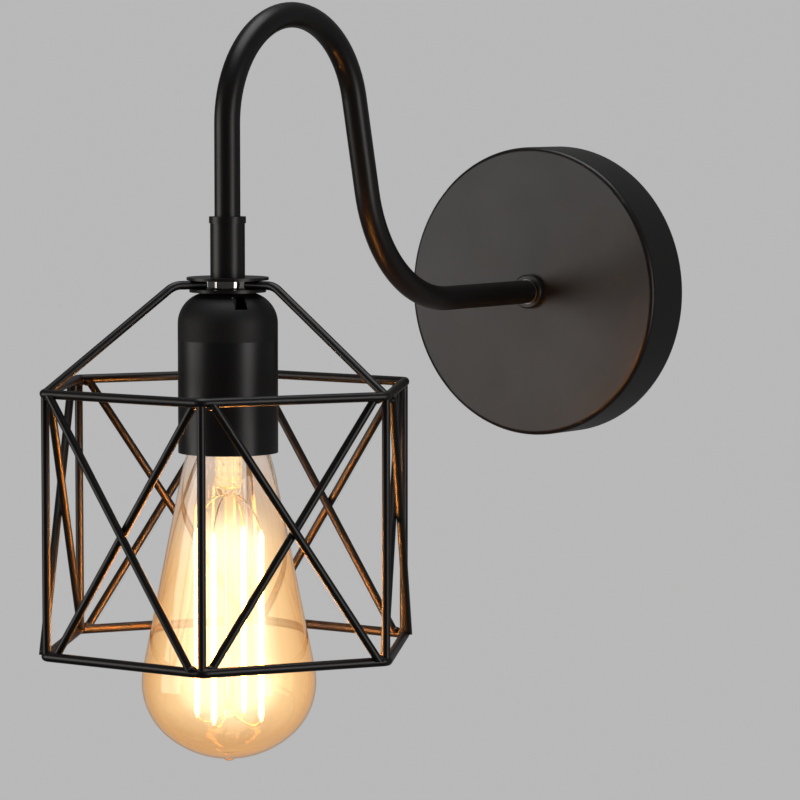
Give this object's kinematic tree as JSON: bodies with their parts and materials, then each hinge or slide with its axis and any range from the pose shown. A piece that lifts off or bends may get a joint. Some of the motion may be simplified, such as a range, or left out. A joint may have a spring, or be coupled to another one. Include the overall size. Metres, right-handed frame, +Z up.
{
  "type": "cage wall light",
  "caption": "Wall light with a round wall plate, a gooseneck tube arm, a hexagonal wire cage braced with crosses, and a pear-shaped screw-in bulb.",
  "frame": {"origin": "centre of the wall plate's back face, on the wall, midway between the bracket's two screw slots", "axes": "+Z up, +Y into the wall, so the arm and cage stand out towards -Y"},
  "size_m": [0.1452, 0.288, 0.2787],
  "materials": {
    "black_coat": "satin black powder coat on steel",
    "black_dome": "dull black moulded phenolic",
    "black_skirt": "satin black moulded phenolic",
    "black_screw": "blackened steel",
    "zinc_steel": "bright zinc plate",
    "nickel_plate": "bright nickel plate",
    "tinned_copper": "tinned copper",
    "shell_brass": "nickel-washed brass",
    "cap_metal": "bright rolled cap metal",
    "solder": "dull solder",
    "white_ceramic": "glazed white ceramic",
    "black_glass": "glossy black cap glass",
    "amber_glass": "clear glass with an amber tint",
    "clear_glass": "clear drawn glass",
    "filament_coat": "warm phosphor coat, glowing",
    "brown_sheath": "brown wire sheath",
    "blue_sheath": "blue wire sheath",
    "green_sheath": "green and yellow wire sheath",
    "grey_nylon": "grey nylon"
  },
  "bodies": {
    "root": {"wall_plate": "black_coat", "mounting_bracket": "zinc_steel", "cover_screws": "black_screw", "earth_screw": "zinc_steel", "earth_lug": "tinned_copper", "wire_earth": "green_sheath", "wire_connectors": "grey_nylon", "arm_tube": "black_coat", "wire_live": "brown_sheath", "wire_neutral": "blue_sheath", "arm_collar": "black_coat", "arm_stub": "zinc_steel", "plate_nut": "zinc_steel", "tag_washer": "zinc_steel", "tube_sleeve": "black_coat", "lower_nipple": "nickel_plate", "hub_disc_upper": "black_coat", "hub_disc_lower": "black_coat", "hub_nut": "nickel_plate", "lampholder_dome": "black_dome", "lampholder_skirt": "black_skirt", "holder_washer": "zinc_steel", "holder_nut": "zinc_steel", "holder_insert": "white_ceramic", "screw_shell": "shell_brass", "centre_contact": "shell_brass", "holder_terminals": "shell_brass", "terminal_screws": "zinc_steel", "cage_ring_top": "black_coat", "cage_ring_bottom": "black_coat", "cage_leg_1": "black_coat", "cage_leg_2": "black_coat", "cage_leg_3": "black_coat", "cage_post_1": "black_coat", "cage_post_2": "black_coat", "cage_post_3": "black_coat", "cage_post_4": "black_coat", "cage_post_5": "black_coat", "cage_post_6": "black_coat", "cage_brace_1": "black_coat", "cage_brace_2": "black_coat", "cage_brace_3": "black_coat", "cage_brace_4": "black_coat", "cage_brace_5": "black_coat", "cage_brace_6": "black_coat", "cage_brace_7": "black_coat", "cage_brace_8": "black_coat", "cage_brace_9": "black_coat", "cage_brace_10": "black_coat", "cage_brace_11": "black_coat", "cage_brace_12": "black_coat"},
    "bulb_contact": {"bulb_tip": "solder"},
    "bulb": {"bulb_cap": "cap_metal", "bulb_insulator": "black_glass", "bulb_glass": "amber_glass", "bulb_stem": "clear_glass", "bulb_filaments": "filament_coat", "filament_arms": "nickel_plate"}
  },
  "joints": [
    {"name": "bulb_out", "type": "slide", "parent": "root", "child": "bulb_contact", "axis": [0, 0, -1], "range_m": [0, 0.01633]},
    {"name": "bulb_turn", "type": "hinge", "parent": "bulb_contact", "child": "bulb", "pos_m": [0, -0.2232, 0], "axis": [0, 0, -1], "range_deg": [0, 1620]}
  ],
  "couplings": [
    {"joint": "bulb_turn", "follows": "bulb_out", "rad_per_m": 1731.4}
  ]
}
